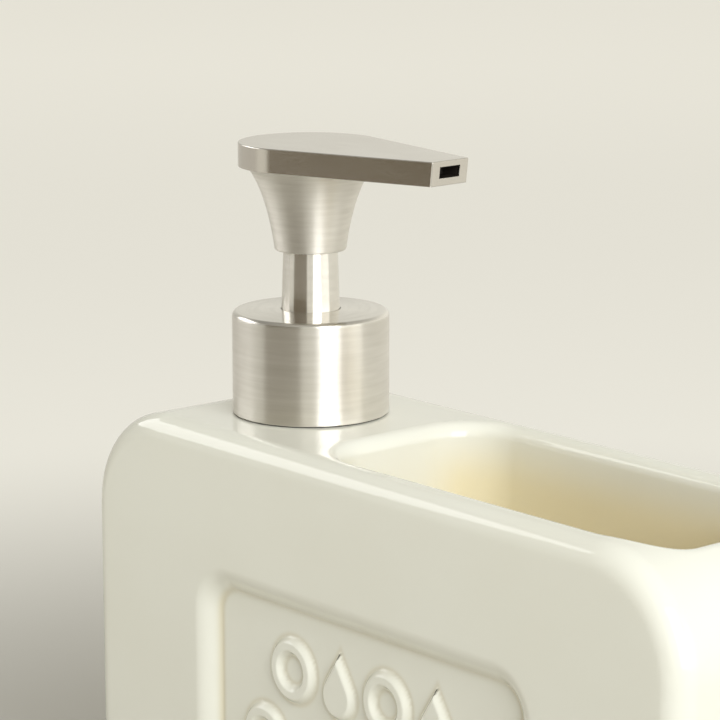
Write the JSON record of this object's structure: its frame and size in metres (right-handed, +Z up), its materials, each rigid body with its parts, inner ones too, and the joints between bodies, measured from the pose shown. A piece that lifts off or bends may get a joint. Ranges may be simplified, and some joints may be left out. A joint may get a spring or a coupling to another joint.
{
  "type": "countertop soap dispenser",
  "caption": "Glazed ceramic detergent dispenser with a lotion pump over a reservoir and an open sponge well beside it.",
  "frame": {"origin": "middle of the footprint on the table", "axes": "+X from the pump towards the well, -Y towards the embossed front, +Z up"},
  "size_m": [0.178, 0.0588, 0.171],
  "materials": {
    "glaze": "glossy cream ceramic glaze",
    "soft_pad": "translucent soft silicone",
    "dark_rubber": "matt dark rubber",
    "white_plastic": "moulded natural polypropylene",
    "brushed_nickel": "satin nickel brushed round the axis",
    "polished_nickel": "finely brushed satin nickel tube",
    "head_nickel": "fine satin nickel",
    "ball_steel": "polished ball",
    "spring_steel": "drawn spring wire",
    "clear_tube": "translucent polyethylene tube",
    "dark_plastic": "dark moulded plastic"
  },
  "bodies": {
    "reservoir": {"ceramic_body": "glaze", "foot_pads": "soft_pad", "neck_insert": "white_plastic", "seat_ring": "dark_rubber"},
    "pump_unit": {"pump_housing": "white_plastic", "stem_guide": "white_plastic", "stem_wiper": "dark_rubber", "neck_gasket": "soft_pad", "ball_cage": "white_plastic", "dip_tube": "clear_tube", "return_spring": "spring_steel"},
    "collar": {"collar_shell": "brushed_nickel", "closure_nut": "white_plastic"},
    "plunger": {"piston_seal": "soft_pad", "spring_retainer": "white_plastic"},
    "head": {"piston_stem": "white_plastic", "stem_sleeve": "polished_nickel", "outlet_seat": "white_plastic", "skirt_bell": "brushed_nickel", "head_shell": "head_nickel", "head_plate": "brushed_nickel", "head_core": "dark_plastic", "nozzle_liner": "dark_plastic"},
    "lower_valve": {"inlet_ball": "ball_steel"},
    "upper_valve": {"outlet_ball": "ball_steel"}
  },
  "joints": [
    {"name": "pump_lift_out", "type": "slide", "parent": "reservoir", "child": "pump_unit", "axis": [0, 0, 1], "range_m": [0, 0.125]},
    {"name": "collar_turn", "type": "hinge", "parent": "pump_unit", "child": "collar", "pos_m": [-0.0478, 0, 0.1123], "axis": [0, 0, 1], "continuous": true},
    {"name": "pump_press", "type": "slide", "parent": "pump_unit", "child": "plunger", "axis": [0, 0, -1], "range_m": [0, 0.0115], "stiffness_N_per_m": 450, "springref_m": -0.012, "deforming": ["return_spring"]},
    {"name": "head_swivel", "type": "hinge", "parent": "plunger", "child": "head", "pos_m": [-0.0478, 0, 0.1123], "axis": [0, 0, 1], "continuous": true},
    {"name": "inlet_ball_lift", "type": "slide", "parent": "pump_unit", "child": "lower_valve", "axis": [0, 0, 1], "range_m": [0, 0.0015]},
    {"name": "outlet_ball_lift", "type": "slide", "parent": "head", "child": "upper_valve", "axis": [0, 0, 1], "range_m": [0, 0.001]}
  ]
}
